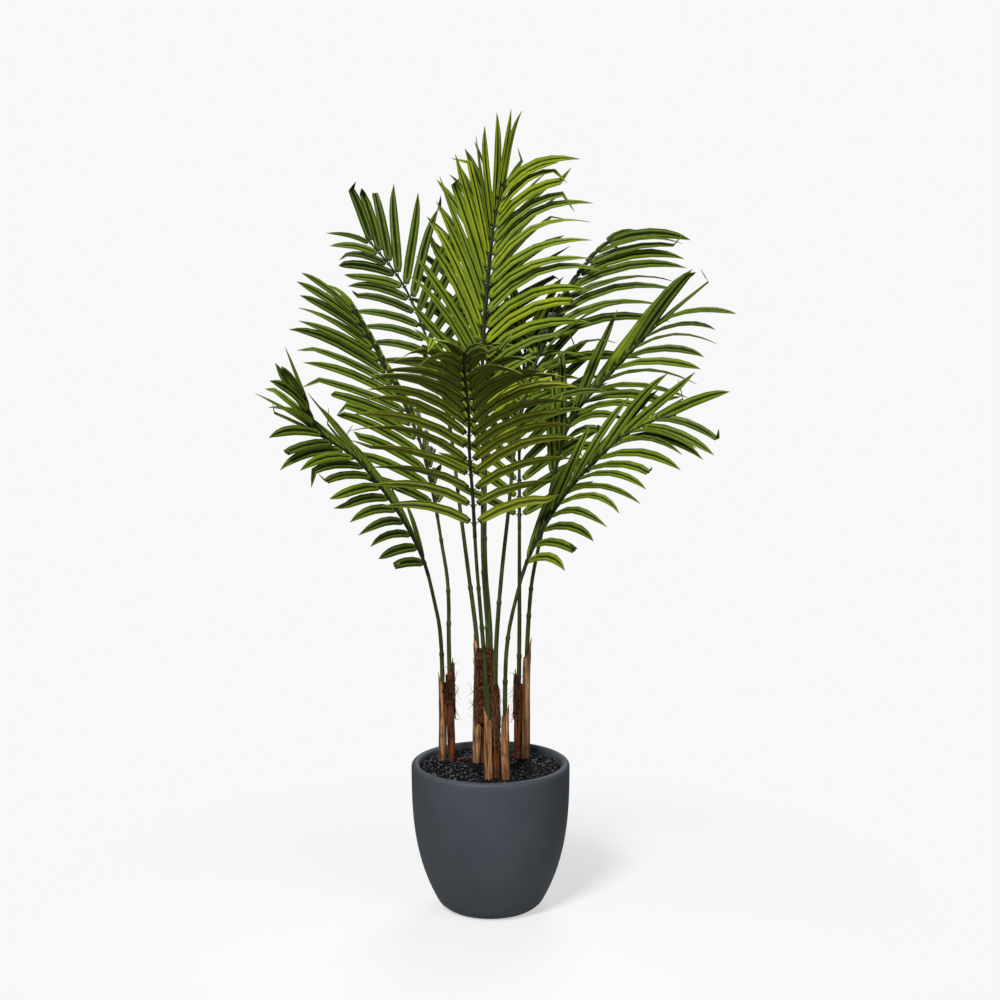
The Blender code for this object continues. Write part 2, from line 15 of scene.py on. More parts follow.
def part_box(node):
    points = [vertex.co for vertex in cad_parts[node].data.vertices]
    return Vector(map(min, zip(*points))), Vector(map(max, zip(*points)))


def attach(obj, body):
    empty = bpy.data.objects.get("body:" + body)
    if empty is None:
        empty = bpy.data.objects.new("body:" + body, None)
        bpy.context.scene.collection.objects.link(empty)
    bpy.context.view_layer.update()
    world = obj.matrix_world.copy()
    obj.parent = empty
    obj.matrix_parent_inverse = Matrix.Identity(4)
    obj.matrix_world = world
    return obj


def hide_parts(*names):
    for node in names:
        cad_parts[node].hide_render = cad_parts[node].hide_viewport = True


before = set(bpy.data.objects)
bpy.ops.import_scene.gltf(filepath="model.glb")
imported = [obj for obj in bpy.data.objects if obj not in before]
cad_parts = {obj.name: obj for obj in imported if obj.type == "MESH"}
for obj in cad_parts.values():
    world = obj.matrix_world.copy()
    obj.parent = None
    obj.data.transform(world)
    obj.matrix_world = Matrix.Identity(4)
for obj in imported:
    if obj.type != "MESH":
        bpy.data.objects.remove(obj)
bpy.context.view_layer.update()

# Sizes, in metres
POT_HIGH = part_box("pot")[1]
POT_RADIUS = POT_HIGH.x
POT_HEIGHT = POT_HIGH.z
POT_WALL = 0.0125
POT_TAPER = 0.39
POT_FULLNESS = 3.0
POT_FOOT_RADIUS = 0.0615
POT_FOOT_ROUND = 0.0140
GRAVEL_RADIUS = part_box("gravel")[1].x
GRAVEL_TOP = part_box("gravel")[1].z - 0.002
CANE_RADIUS = 0.0041
CANE_TIP_RADIUS = 0.0027
JOINT_NARROWING = 0.965
BOOT_RADIUS = 0.0061
BOOT_DEPTH = 0.012
SHEATH_THICKNESS = 0.0009
MAT_THICKNESS = 0.0010
FLAKE_THICKNESS = 0.0008
RIB_RADIUS = 0.0029
RIB_TIP_RADIUS = 0.0014
PEG = 0.0055

# Floor: how far it reaches, how solid it looks by the pot, and between which distances that fades out
FLOOR_RADIUS = 1.2
FLOOR_OPACITY = 0.42
FLOOR_FADE = (0.15, 0.75)

# Gravel: how many grains, their sizes, and how far they keep from the middle of a boot
GRAIN_COUNT = 2700
GRAIN_SMALLEST, GRAIN_LARGEST = 0.0016, 0.0034
GRAIN_CLEARANCE = 0.0062
MOUND = 0.0018

# Leaflets: how much wider than the CAD's, their thickness in half widths, and how much they vary
BLADE_WIDEN = 1.15
BLADE_THICKNESS = 0.085
BOW_SPREAD = 0.038
TWIST_SPREAD = 0.42
TONE_SPREAD = 0.11
KINKED_SHARE = 0.26

# The noise that roughens the sheaths starts from the clock unless it is given a seed other than 0
NOISE_SEED = 7

# The fronds: the way the upper side of each looks, and how bright its green is, from 0 to 1; that brightness
# is partly painted light, a frond made lighter or darker to stand in for how lit or shaded it looks
FRONDS = {
    "left_low": ((0.30, -0.25, 0.92), 0.44),
    "left_mid": ((0.25, -0.90, 0.35), 0.46),
    "left_high": ((0.20, -0.93, 0.30), 0.32),
    "front": ((0.0, 0.70, 0.70), 0.84),
    "crown": ((0.0, -0.98, 0.20), 0.70),
    "right_high": ((-0.25, -0.90, 0.35), 0.39),
    "back_right": ((0.0, -0.95, 0.30), 0.54),
    "right_low": ((-0.35, -0.15, 0.92), 0.48),
    "right_mid": ((-0.55, -0.25, 0.80), 0.41),
    "back": ((0.0, -0.60, 0.80), 0.42),
}

# The trunks: which leaves stand in each
TRUNKS = {
    "left": ("left_low", "left_mid"),
    "back": ("left_high", "crown", "back"),
    "front": ("front", "right_high", "right_low"),
    "right": ("back_right", "right_mid"),
}
TAN_BOOTS = ("left_low", "left_high", "front", "right_low", "right_mid")

# The fibre mats: the leaves each lies against, the way its middle looks and its half width, both in
# degrees, and how many threads it has
MATS = {
    "left": (("left_low", "left_mid"), 10, 84, 150),
    "back": (("left_high", "crown"), 285, 62, 190),
    "front": (("right_high",), 270, 62, 150),
    "right": (("back_right",), 205, 78, 130),
}

# Heights of the ring joints on each cane
JOINTS = {
    "left_low": (0.385,),
    "left_mid": (0.43, 0.48, 0.555),
    "left_high": (0.485,),
    "front": (0.40, 0.45, 0.51),
    "crown": (0.56,),
    "right_high": (0.48,),
    "back_right": (0.375,),
    "right_low": (0.365, 0.43),
    "right_mid": (0.44, 0.485),
    "back": (0.42, 0.50),
}


# ---------------------------------------------------------------- small helpers for modelling


def start_fresh():
    if bpy.context.mode != "OBJECT":
        bpy.ops.object.mode_set(mode="OBJECT")
    bpy.ops.object.select_all(action="DESELECT")


def named(name):
    piece = bpy.context.object
    piece.name = name
    piece.data.name = name
    return piece


def edit(piece):
    start_fresh()
    piece.select_set(True)
    bpy.context.view_layer.objects.active = piece
    bpy.ops.object.mode_set(mode="EDIT")


def finish_edit():
    bpy.ops.object.mode_set(mode="OBJECT")


def select_where(piece, test, kind="verts"):
    """Selects the corners or faces of a piece in edit mode whose middle passes a test."""
    bpy.ops.mesh.select_mode(type={"verts": "VERT", "faces": "FACE"}[kind])
    bpy.ops.mesh.select_all(action="DESELECT")
    mesh = bmesh.from_edit_mesh(piece.data)
    for part in getattr(mesh, kind):
        centre = part.co if kind == "verts" else part.calc_center_median()
        if test(centre):
            part.select_set(True)
    mesh.select_flush_mode()
    bmesh.update_edit_mesh(piece.data)


def apply_modifiers(piece):
    start_fresh()
    piece.select_set(True)
    bpy.context.view_layer.objects.active = piece
    for modifier in list(piece.modifiers):
        bpy.ops.object.modifier_apply(modifier=modifier.name)


def settle(piece):
    """Puts a piece's place, turn and size into its mesh."""
    start_fresh()
    piece.select_set(True)
    bpy.context.view_layer.objects.active = piece
    bpy.ops.object.transform_apply(location=True, rotation=True, scale=True)


def faces_outward(piece, merge=0.00001):
    edit(piece)
    bpy.ops.mesh.select_all(action="SELECT")
    bpy.ops.mesh.remove_doubles(threshold=merge)
    bpy.ops.mesh.normals_make_consistent(inside=False)
    finish_edit()


def smooth(piece, degrees):
    start_fresh()
    piece.select_set(True)
    bpy.context.view_layer.objects.active = piece
    bpy.ops.object.shade_smooth_by_angle(angle=math.radians(degrees))


def thicken(piece, thickness, offset):
    shell = piece.modifiers.new("thickness", "SOLIDIFY")
    shell.thickness = thickness
    shell.offset = offset
    apply_modifiers(piece)


def join(pieces, name):
    start_fresh()
    for piece in pieces:
        piece.select_set(True)
    bpy.context.view_layer.objects.active = pieces[0]
    if len(pieces) > 1:
        bpy.ops.object.join()
    return named(name)


def copy_of(master, name):
    """A copy of a master piece with a mesh of its own."""
    copy = master.copy()
    copy.data = master.data.copy()
    copy.name = name
    bpy.context.scene.collection.objects.link(copy)
    return copy


def ring_up(rise, grow):
    """Extrudes the selected ring upwards and widens or narrows its new end."""
    bpy.ops.mesh.extrude_region_move(TRANSFORM_OT_translate={"value": (0, 0, rise)})
    bpy.ops.transform.resize(value=(grow, grow, 1))


def straight_stalk(name, sides, stations, capped=True):
    """A straight round stalk along Z: a ring drawn up from each (height, radius) to the next."""
    start_fresh()
    height, radius = stations[0]
    bpy.ops.mesh.primitive_circle_add(
        vertices=sides, radius=radius, fill_type="NGON" if capped else "NOTHING", location=(0, 0, height))
    piece = named(name)
    settle(piece)
    edit(piece)
    bpy.ops.mesh.select_mode(type="VERT")
    bpy.ops.mesh.select_all(action="SELECT")
    for (low, narrow), (high, wide) in zip(stations, stations[1:]):
        ring_up(high - low, wide / narrow)
    bpy.ops.mesh.select_all(action="SELECT")
    bpy.ops.mesh.normals_make_consistent(inside=False)
    finish_edit()
    return piece


# ---------------------------------------------------------------- lines through the CAD frame


class Line:
    """A smooth line through points, read by the distance along it."""

    STEPS = 8

    def __init__(self, points):
        ends = [2 * points[0] - points[1], *points, 2 * points[-1] - points[-2]]
        self.dots = [points[0].copy()]
        for a, b, c, d in zip(ends, ends[1:], ends[2:], ends[3:]):
            for step in range(1, self.STEPS + 1):
                self.dots.append(self.between(a, b, c, d, step / self.STEPS))
        self.reached = [0.0]
        for here, there in zip(self.dots, self.dots[1:]):
            self.reached.append(self.reached[-1] + (there - here).length)
        self.length = self.reached[-1]

    @staticmethod
    def between(a, b, c, d, share):
        """The point a share of the way from b to c, on a curve that a and d bend by their distances."""
        knots = [0.0]
        for here, there in ((a, b), (b, c), (c, d)):
            knots.append(knots[-1] + math.sqrt(max((there - here).length, 1e-6)))
        place = knots[1] + share * (knots[2] - knots[1])

        def mix(p, q, start, end):
            return (p * (end - place) + q * (place - start)) / (end - start)

        ab = mix(a, b, knots[0], knots[1])
        bc = mix(b, c, knots[1], knots[2])
        cd = mix(c, d, knots[2], knots[3])
        return mix(mix(ab, bc, knots[0], knots[2]), mix(bc, cd, knots[1], knots[3]), knots[1], knots[2])

    def at(self, distance):
        if distance <= 0:
            return self.dots[0] + (self.dots[1] - self.dots[0]).normalized() * distance
        for i, far in enumerate(self.reached[1:]):
            if far >= distance:
                share = (distance - self.reached[i]) / (far - self.reached[i])
                return self.dots[i].lerp(self.dots[i + 1], share)
        return self.dots[-1] + (self.dots[-1] - self.dots[-2]).normalized() * (distance - self.length)

    def direction(self, distance):
        return (self.at(distance + 0.004) - self.at(distance - 0.004)).normalized()

    def distance_at_height(self, height):
        for dot, far in zip(self.dots, self.reached):
            if dot.z >= height:
                return far
        return self.length


def square_to(way, along):
    return (way - way.project(along)).normalized()


def lay_on(piece, line, start, face):
    """Bends a straight piece, modelled along Z, onto a line: its Y side turns towards face."""
    frames = {}
    for corner in piece.data.vertices:
        height = round(corner.co.z, 5)
        if height not in frames:
            along = line.direction(start + height)
            up = square_to(face, along)
            frames[height] = (line.at(start + height), up.cross(along), up)
        centre, side, up = frames[height]
        corner.co = centre + side * corner.co.x + up * corner.co.y
    piece.data.update()


class Tube:
    """A CAD solid's corners and edges, doubles merged, to be read ring by ring."""

    def __init__(self, node):
        self.mesh = bmesh.new()
        self.mesh.from_mesh(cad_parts[node].data)
        bmesh.ops.remove_doubles(self.mesh, verts=self.mesh.verts, dist=0.00002)

    def rings(self, first, allowed=None, count=None):
        """The rings of corners along the tube, from the first one onwards."""
        found, seen = [first], set(first)
        while count is None or len(found) < count:
            following = {edge.other_vert(corner) for corner in found[-1] for edge in corner.link_edges} - seen
            if allowed is not None:
                following &= allowed
            if not following:
                break
            seen |= following
            found.append(following)
        return found

    def lowest_ring(self):
        bottom = min(corner.co.z for corner in self.mesh.verts)
        return {corner for corner in self.mesh.verts if corner.co.z < bottom + 0.001}

    def tip_caps(self):
        """The small square ends of the leaflets: four corners close together, with all others far away."""
        caps, seen = [], set()
        for corner in self.mesh.verts:
            if corner in seen:
                continue
            group, waiting = {corner}, [corner]
            while waiting:
                for edge in waiting.pop().link_edges:
                    if edge.calc_length() < 0.0016:
                        for other in edge.verts:
                            if other not in group:
                                group.add(other)
                                waiting.append(other)
            seen |= group
            leaving = [e.calc_length() for c in group for e in c.link_edges if e.other_vert(c) not in group]
            if len(group) == 4 and min(leaving) > 0.005:
                caps.append(group)
        return caps


def in_order(corners):
    """The places of a set of corners, always in the same order."""
    return sorted((corner.co.copy() for corner in corners), key=tuple)


def middle(corners):
    return sum(in_order(corners), Vector()) / len(corners)


def broad_way(corners):
    """The direction of the longer side of a flat ring of four corners, scaled to its length."""
    first, *others = in_order(corners)
    others.sort(key=lambda place: (place - first).length)
    return others[1] - first


class Leaf:
    """One leaf of the palm as its CAD solids give it: the line of its cane and midrib, and its leaflets."""

    def __init__(self, name):
        self.name = name
        face, self.tone = FRONDS[name]
        self.face = Vector(face).normalized()
        cane = Tube("cane_" + name)
        cane_middles = [middle(ring) for ring in cane.rings(cane.lowest_ring())]
        frond = Tube("frond_" + name)
        self.leaflets, blades, roots = [], set(), set()
        for cap in frond.tip_caps():
            tip, outer, inner, root = frond.rings(cap, count=4)
            blades |= tip | outer | inner
            roots |= root
            self.leaflets.append([middle(root), middle(inner), middle(outer), middle(tip), broad_way(inner)])
        self.leaflets.sort(key=lambda parts: tuple(round(value, 4) for value in parts[0].zyx))
        rib = set(frond.mesh.verts) - blades
        top = cane_middles[-1]
        ends = sorted(rib - roots, key=lambda corner: (corner.co - top).length)
        rib_rings = frond.rings(set(ends[:4]), allowed=rib)
        rib_middles = [middle(ring) for ring in rib_rings]
        pairs = [(a + b) / 2 for a, b in zip(rib_middles[1:-1:2], rib_middles[2:-1:2])]
        self.line = Line(cane_middles[:-1] + [rib_middles[0]] + pairs + [rib_middles[-1]])
        below = Line(cane_middles[:-1] + [rib_middles[0]])
        self.rib_start = below.length
        self.pair_places = [self.rib_start]
        for here, there in zip([rib_middles[0]] + pairs, pairs):
            self.pair_places.append(self.pair_places[-1] + (there - here).length)
        self.pair_places = self.pair_places[1:]
        cane.mesh.free()
        frond.mesh.free()


# ---------------------------------------------------------------- shaders


class Value:
    """One output of a shader network, so that shader maths reads as ordinary arithmetic."""

    def __init__(self, paint, socket):
        self.paint = paint
        self.socket = socket

    def maths(self, operation, first, second):
        return self.paint.node("ShaderNodeMath", {"operation": operation}, {0: first, 1: second})

    def __add__(self, other):
        return self.maths("ADD", self, other)

    def __radd__(self, other):
        return self.maths("ADD", other, self)

    def __sub__(self, other):
        return self.maths("SUBTRACT", self, other)

    def __rsub__(self, other):
        return self.maths("SUBTRACT", other, self)

    def __mul__(self, other):
        return self.maths("MULTIPLY", self, other)

    def __rmul__(self, other):
        return self.maths("MULTIPLY", other, self)


class Paint:
    """A material under construction."""

    def __init__(self, name):
        self.material = bpy.data.materials.new(name)
        self.material.use_nodes = True
        self.nodes = self.material.node_tree.nodes
        self.links = self.material.node_tree.links
        self.shader = self.nodes["Principled BSDF"]

    def set(self, socket, value):
        if isinstance(value, Value):
            self.links.new(value.socket, socket)
        elif isinstance(value, (tuple, list)) and len(value) == 3 and socket.type == "RGBA":
            socket.default_value = (*value, 1.0)
        else:
            socket.default_value = value

    def node(self, kind, settings, inputs, output=0):
        """Adds a node: first its settings, then the values or links of its sockets."""
        made = self.nodes.new(kind)
        for name, value in settings.items():
            if name == "stops":
                self.set_stops(made.color_ramp, value)
            else:
                setattr(made, name, value)
        for key, value in inputs.items():
            self.set(made.inputs[key], value)
        return Value(self, made.outputs[output])

    @staticmethod
    def set_stops(ramp, stops):
        while len(ramp.elements) < len(stops):
            ramp.elements.new(1.0)
        for element, (place, colour) in zip(ramp.elements, stops):
            element.position = place
            element.color = (*colour, 1.0)

    def place(self):
        return self.node("ShaderNodeTexCoord", {}, {}, "Object")

    def stretched(self, scale, vector=None):
        vector = vector or self.place()
        return self.node("ShaderNodeMapping", {}, {"Vector": vector, "Scale": scale})

    def noise(self, scale, detail=3.0, roughness=0.55, vector=None):
        inputs = {"Vector": vector or self.place(), "Scale": scale, "Detail": detail, "Roughness": roughness}
        return self.node("ShaderNodeTexNoise", {}, inputs, "Fac")

    def attribute(self, name):
        return self.node("ShaderNodeAttribute", {"attribute_name": name}, {}, "Fac")

    def blade_map(self):
        """Across and along values of a leaflet, from its UV map."""
        uv = self.node("ShaderNodeUVMap", {"uv_map": "blade"}, {})
        return self.part_of(uv, "X"), self.part_of(uv, "Y")

    def part_of(self, vector, axis):
        return self.node("ShaderNodeSeparateXYZ", {}, {0: vector}, axis)

    def absolute(self, value):
        return self.node("ShaderNodeMath", {"operation": "ABSOLUTE"}, {0: value})

    def step(self, value, low, high):
        """0 below low, 1 above high, and smooth in between."""
        settings = {"interpolation_type": "SMOOTHSTEP"}
        inputs = {"Value": value, "From Min": low, "From Max": high}
        return self.node("ShaderNodeMapRange", settings, inputs)

    def blend(self, factor, first, second):
        """A mix of two colours: sockets 6 and 7 of the Mix node take colours, and output 2 gives one."""
        return self.node("ShaderNodeMix", {"data_type": "RGBA"}, {0: factor, 6: first, 7: second}, 2)

    def bump(self, height, strength, distance):
        inputs = {"Height": height, "Strength": strength, "Distance": distance}
        return self.node("ShaderNodeBump", {}, inputs)

    def finish(self, **sockets):
        for name, value in sockets.items():
            self.set(self.shader.inputs[name.replace("_", " ")], value)
        return self.material


def pot_finish():
    """Matte slate glaze on fibre clay: cloudy tone, fine specks, a soft grain."""
    paint = Paint("slate_grey_pot")
    clouds = paint.noise(9.0, 4.0, 0.6)
    grain = paint.noise(700.0, 2.0)
    tone = paint.blend(paint.step(clouds, 0.3, 0.7), (0.033, 0.041, 0.049), (0.041, 0.050, 0.058))
    colour = paint.blend(paint.step(grain, 0.62, 0.74) * 0.30, tone, (0.064, 0.075, 0.085))
    return paint.finish(
        Base_Color=colour, Roughness=0.52 + 0.16 * clouds, Specular_IOR_Level=0.25,
        Normal=paint.bump(grain + clouds * 0.5, 0.25, 0.0006))


def soil_finish():
    paint = Paint("dark_bed")
    lumps = paint.noise(260.0, 4.0)
    colour = paint.blend(lumps, (0.001, 0.001, 0.0012), (0.006, 0.006, 0.007))
    return paint.finish(
        Base_Color=colour, Roughness=0.95, Specular_IOR_Level=0.1, Normal=paint.bump(lumps, 0.9, 0.002))


def grain_finish():
    """Black crushed stone: each grain has its own grey, with glints on its faces."""
    paint = Paint("black_grains")
    tone = paint.attribute("tone")
    specks = paint.noise(900.0, 3.0)
    grey = paint.node("ShaderNodeValToRGB", {"stops": [
        (0.0, (0.0006, 0.0006, 0.0008)), (0.60, (0.0022, 0.0024, 0.003)), (0.88, (0.011, 0.012, 0.014)),
        (1.0, (0.10, 0.105, 0.115))]}, {"Fac": tone})
    colour = paint.blend(paint.step(specks, 0.60, 0.80) * 0.3, grey, (0.03, 0.031, 0.034))
    return paint.finish(
        Base_Color=colour, Roughness=0.30 + 0.3 * specks, Specular_IOR_Level=0.12,
        Normal=paint.bump(specks, 0.5, 0.0005))


def blade_finish():
    """Pressed fabric leaflet: painted shade in the centre groove, over its own darker midline, and along a
    crease near each edge; painted highlights on the pleats; a tip painted paler as if lit through; paler
    edge, mottled weave, greyer underside.
    """
    paint = Paint("leaflet_green")
    across, along = paint.blade_map()
    # The tone carries each frond's brightness, which is partly painted light, plus a random spread per
    # leaflet.
    tone = paint.attribute("tone")
    under = paint.step(across, 0.99, 1.01)
    side = paint.node("ShaderNodeMath", {"operation": "FRACT"}, {0: across})
    offset = paint.absolute(side - 0.5) * 2
    weave = paint.noise(420.0, 2.0)
    wavy = paint.noise(130.0, 3.0)
    mottle = paint.noise(28.0, 3.0)
    shade = tone + (mottle - 0.5) * 0.36 + (wavy - 0.5) * 0.22 + (weave - 0.5) * 0.16
    green = paint.node("ShaderNodeValToRGB", {"stops": [
        (0.0, (0.007, 0.017, 0.002)), (0.35, (0.040, 0.068, 0.004)), (0.65, (0.098, 0.150, 0.005)),
        (1.0, (0.270, 0.310, 0.008))]}, {"Fac": shade})
    wander = offset + (wavy - 0.5) * 0.14
    # Painted shade: the centre fold is darkened as if shade falls in it, over the leaflet's own darker
    # midline.
    groove_shade = 1 - paint.step(wander, 0.10, 0.30)
    # Painted highlight: a paler stripe along each raised pleat, where light would catch it.
    pleat_highlight = 1 - paint.step(paint.absolute(wander - 0.50), 0.02, 0.16)
    # Painted shade: a dark crease line near each edge of the leaflet.
    edge_crease_shade = 1 - paint.step(paint.absolute(wander - 0.80), 0.01, 0.09)
    edge = paint.step(offset, 0.88, 0.97)
    colour = paint.blend(pleat_highlight * 0.32, green, (0.25, 0.29, 0.045))
    colour = paint.blend(groove_shade * 0.94, colour, (0.004, 0.009, 0.002))
    colour = paint.blend(edge_crease_shade * 0.62, colour, (0.008, 0.018, 0.004))
    colour = paint.blend(edge * 0.36, colour, (0.17, 0.21, 0.04))
    colour = paint.blend(under * 0.34, colour, (0.085, 0.100, 0.024))
    # Painted light: the end of each leaflet is painted paler, as if lit through from behind.
    tip = paint.step(along, 0.90, 1.0)
    colour = paint.blend(tip * 0.45, colour, (0.21, 0.24, 0.06))
    peg = 1 - paint.step(along, -0.004, 0.03)
    colour = paint.blend(peg, colour, (0.016, 0.020, 0.010))
    return paint.finish(
        Base_Color=colour, Roughness=0.44 + 0.20 * mottle + 0.12 * under, Specular_IOR_Level=0.07,
        Normal=paint.bump(weave + wavy, 0.35, 0.0005))


def stem_finish(name, dark, pale, rough):
    """Moulded stalk: long streaks and small blotches of a paler green."""
    paint = Paint(name)
    streaks = paint.noise(1.0, 4.0, vector=paint.stretched((420.0, 420.0, 16.0)))
    blotches = paint.noise(55.0, 3.0)
    colour = paint.blend(paint.step(streaks, 0.35, 0.7), dark, pale)
    colour = paint.blend(paint.step(blotches, 0.58, 0.75) * 0.30, colour, tuple(0.55 * part for part in dark))
    return paint.finish(
        Base_Color=colour, Roughness=rough + 0.15 * blotches, Specular_IOR_Level=0.10,
        Normal=paint.bump(streaks, 0.25, 0.0005))


def sheath_finish(name, dark, pale):
    """Dry leaf sheath: long woody grain, a foot that darkens towards the gravel, small worn patches."""
    paint = Paint(name)
    place = paint.place()
    grain = paint.noise(1.0, 5.0, 0.62, paint.stretched((380.0, 380.0, 14.0), place))
    patches = paint.noise(45.0, 4.0)
    height = paint.part_of(place, "Z")
    colour = paint.blend(paint.step(grain, 0.38, 0.62), dark, pale)
    colour = paint.blend(paint.step(patches, 0.50, 0.70) * 0.60, colour, tuple(0.8 * part for part in dark))
    # The foot is made darker towards the gravel.
    foot = 1 - paint.step(height, GRAVEL_TOP, GRAVEL_TOP + 0.03)
    colour = paint.blend(foot * 0.45, colour, (0.05, 0.022, 0.012))
    return paint.finish(
        Base_Color=colour, Roughness=0.62 + 0.2 * patches, Specular_IOR_Level=0.08,
        Normal=paint.bump(grain, 0.8, 0.0012))


def fibre_finish():
    """Coarse plant fibre: dark mat with redder threads."""
    paint = Paint("dark_fibre")
    tone = paint.attribute("tone")
    mat = paint.noise(1.0, 5.0, 0.65, paint.stretched((650.0, 650.0, 160.0)))
    colour = paint.blend(paint.step(mat, 0.40, 0.62), (0.005, 0.002, 0.0015), (0.080, 0.028, 0.013))
    colour = paint.blend(tone * 0.8, colour, (0.24, 0.115, 0.060))
    return paint.finish(
        Base_Color=colour, Roughness=0.85, Specular_IOR_Level=0.05, Normal=paint.bump(mat, 1.0, 0.0020))


def floor_finish():
    """Pale matte floor that thins out to nothing away from the pot, so that no horizon shows."""
    paint = Paint("pale_floor")
    cloud = paint.noise(0.7, 2.0)
    colour = paint.blend(cloud, (0.70, 0.70, 0.70), (0.72, 0.72, 0.72))
    far = paint.node("ShaderNodeVectorMath", {"operation": "LENGTH"}, {0: paint.place()}, "Value")
    opacity = FLOOR_OPACITY - FLOOR_OPACITY * paint.step(far, *FLOOR_FADE)
    return paint.finish(Base_Color=colour, Roughness=0.9, Alpha=opacity)


# ---------------------------------------------------------------- pot and gravel


def pot_side(height):
    """The pot's outer radius at a height: a rounded foot, a full belly, then nearly upright up to the lip."""
    belly = POT_RADIUS * (1 - POT_TAPER * (1 - height / POT_HEIGHT) ** POT_FULLNESS)
    if height >= POT_FOOT_ROUND:
        return belly
    return POT_FOOT_RADIUS + (belly - POT_FOOT_RADIUS) * math.sqrt(1 - (1 - height / POT_FOOT_ROUND) ** 2)


def make_pot():
    """The planter: a ring drawn up the side, over a rounded lip and down inside to a thick floor."""
    lip = POT_WALL / 2
    heights = [POT_FOOT_ROUND * (1 - math.cos(math.pi / 2 * step / 7)) for step in range(8)]
    heights += [POT_FOOT_ROUND + (POT_HEIGHT - lip - POT_FOOT_ROUND) * step / 22 for step in range(1, 22)]
    stations = [(height, pot_side(height)) for height in heights]
    for step in range(9):
        turn = math.pi * step / 8
        stations.append((POT_HEIGHT - lip + lip * math.sin(turn), POT_RADIUS - lip + lip * math.cos(turn)))
    for share in (0.93, 0.80, 0.60, 0.40, 0.22, 0.12):
        height = POT_HEIGHT * share
        stations.append((height, pot_side(height) - POT_WALL))
    pot = straight_stalk("pot_shell", 128, stations)
    edit(pot)
    select_where(pot, lambda c: c.z < 0.0001, "faces")
    bpy.ops.mesh.inset(thickness=0.009)
    bpy.ops.mesh.inset(thickness=0.0015, depth=-0.0022)
    finish_edit()
    smooth(pot, 50)
    return pot


def stone(name, seed):
    """One crushed grain: a ball with a few flats cut off."""
    start_fresh()
    bpy.ops.mesh.primitive_ico_sphere_add(subdivisions=1, radius=1.0)
    grain = named(name)
    dice = random.Random(seed)
    edit(grain)
    for _ in range(3):
        way = Vector((dice.uniform(-1, 1), dice.uniform(-1, 1), dice.uniform(-1, 1))).normalized()
        bpy.ops.mesh.select_all(action="SELECT")
        cut = way * dice.uniform(0.5, 0.75)
        bpy.ops.mesh.bisect(plane_co=cut, plane_no=way, use_fill=True, clear_outer=True)
    bpy.ops.mesh.select_all(action="SELECT")
    bpy.ops.transform.resize(value=(1.0, dice.uniform(0.7, 0.95), dice.uniform(0.55, 0.8)))
    bpy.ops.mesh.normals_make_consistent(inside=False)
    finish_edit()
    return grain


def scatter(masters, places, name):
    """Copies of the masters at many places, gathered into one piece, each copy with a tone of its own."""
    corners, faces, tones = [], [], []
    for index, (place, tone) in enumerate(places):
        shape = masters[index % len(masters)].data
        first = len(corners)
        corners += [place @ corner.co for corner in shape.vertices]
        faces += [tuple(first + i for i in face.vertices) for face in shape.polygons]
        tones += [tone] * len(shape.vertices)
    data = bpy.data.meshes.new(name)
    data.from_pydata(corners, [], faces)
    data.attributes.new("tone", "FLOAT", "POINT").data.foreach_set("value", tones)
    piece = bpy.data.objects.new(name, data)
    bpy.context.scene.collection.objects.link(piece)
    return piece


def make_gravel(leaves):
    """Grains of crushed stone all over the bed, in a spiral that spreads them evenly, clear of the boots."""
    dice = random.Random(11)
    masters = [stone(f"grain_{seed}", seed) for seed in range(4)]
    feet = [leaf.line.at(leaf.line.distance_at_height(GRAVEL_TOP)).xy for leaf in leaves]
    places = []
    turn = math.pi * (3 - math.sqrt(5))
    for index in range(GRAIN_COUNT):
        radius = GRAVEL_RADIUS * math.sqrt((index + 0.5) / GRAIN_COUNT) + dice.uniform(-0.0012, 0.0012)
        angle = index * turn + dice.uniform(-0.02, 0.02)
        x, y = radius * math.cos(angle), radius * math.sin(angle)
        size = dice.uniform(GRAIN_SMALLEST, GRAIN_LARGEST)
        if radius > GRAVEL_RADIUS - size * 0.8:
            continue
        if min((foot - Vector((x, y))).length for foot in feet) < GRAIN_CLEARANCE + size * 0.6:
            continue
        mound = MOUND * (1 - (radius / GRAVEL_RADIUS) ** 2)
        z = GRAVEL_TOP + mound + dice.uniform(-0.0008, 0.0014)
        turned = dice.uniform(0, 6.283)
        spin = Matrix.Rotation(turned, 4, Vector((dice.uniform(-1, 1), dice.uniform(-1, 1), 1)))
        places.append((Matrix.Translation((x, y, z)) @ spin @ Matrix.Scale(size, 4), dice.random()))
    gravel = scatter(masters, places, "gravel_grains")
    for master in masters:
        bpy.data.objects.remove(master)
    faces_outward(gravel, merge=0.0000001)
    return gravel


# ---------------------------------------------------------------- canes and midribs


# How far along a ring joint's collar, and how wide there; then the same for a swelling of the midrib
COLLAR = ((-0.006, 1.0), (-0.0022, 1.20), (0.0004, 1.26), (0.0016, 1.02), (0.006, 0.93))
SWELLING = ((-0.0045, 0.94), (-0.0012, 1.16), (0.0016, 1.16), (0.0045, 0.96))


